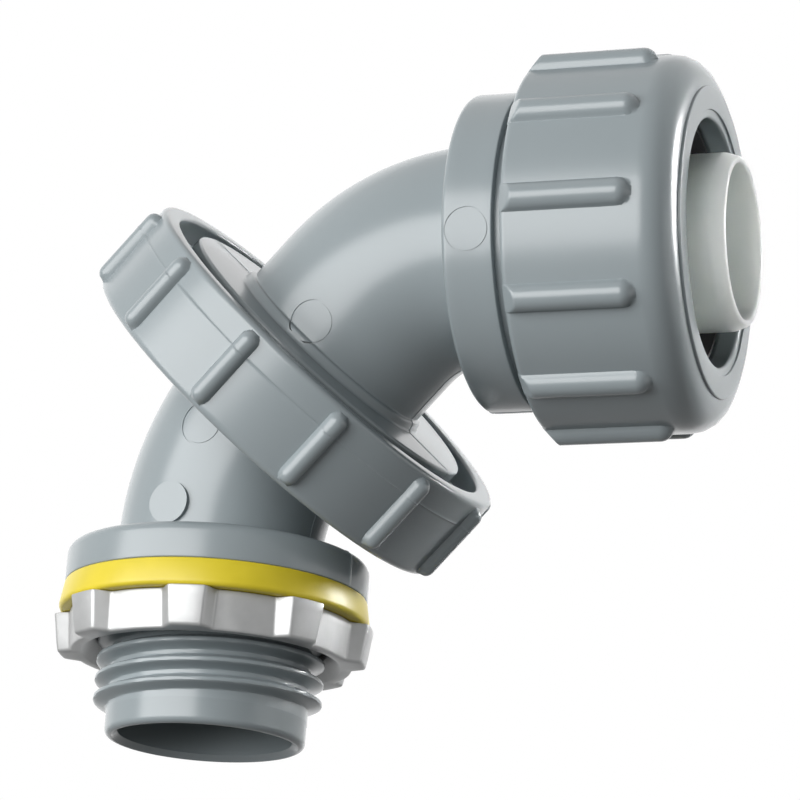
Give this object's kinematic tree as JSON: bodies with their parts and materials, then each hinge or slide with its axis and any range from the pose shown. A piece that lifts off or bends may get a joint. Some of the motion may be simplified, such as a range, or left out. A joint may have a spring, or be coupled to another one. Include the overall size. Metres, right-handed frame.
{
  "type": "liquidtight conduit connector",
  "caption": "Elbow connector that joins flexible liquidtight conduit to a box wall: threaded hub with gasket and locknut, swivelling union of two half elbows, and a ribbed gland nut.",
  "frame": {"origin": "on the hub axis, at the flange face that seats the gasket", "axes": "+Z along the hub axis, away from the box; +X is the way the elbow bends; +Y completes the right-handed set"},
  "size_m": [0.0658, 0.0437, 0.0646],
  "materials": {
    "grey_pvc": "satin moulded plastic",
    "yellow_seal": "soft matte",
    "zinc": "bright die-cast zinc",
    "natural_nylon": "translucent natural nylon",
    "black_rubber": "matte"
  },
  "bodies": {
    "hub_half": {"hub_elbow": "grey_pvc", "sealing_gasket": "yellow_seal", "union_o_ring": "black_rubber"},
    "locknut": {"locknut": "zinc"},
    "union_nut": {"union_nut": "grey_pvc"},
    "conduit_half": {"conduit_elbow": "grey_pvc", "ferrule": "natural_nylon", "compression_ring": "black_rubber"},
    "gland_nut": {"gland_nut": "grey_pvc"}
  },
  "joints": [
    {"name": "locknut_turn", "type": "hinge", "parent": "hub_half", "child": "locknut", "pos_m": [0, 0, -0.0045], "axis": [0, 0, 1], "continuous": true},
    {"name": "union_nut_turn", "type": "hinge", "parent": "hub_half", "child": "union_nut", "pos_m": [0.00689, 0, 0.01932], "axis": [0.7071, 0, 0.7071], "continuous": true},
    {"name": "elbow_swivel", "type": "hinge", "parent": "hub_half", "child": "conduit_half", "pos_m": [0.00689, 0, 0.01932], "axis": [0.7071, 0, 0.7071], "continuous": true},
    {"name": "gland_nut_turn", "type": "hinge", "parent": "conduit_half", "child": "gland_nut", "pos_m": [0.03873, 0.00354, 0.03179], "axis": [0.9841, 0.177, 0.0159], "continuous": true}
  ]
}
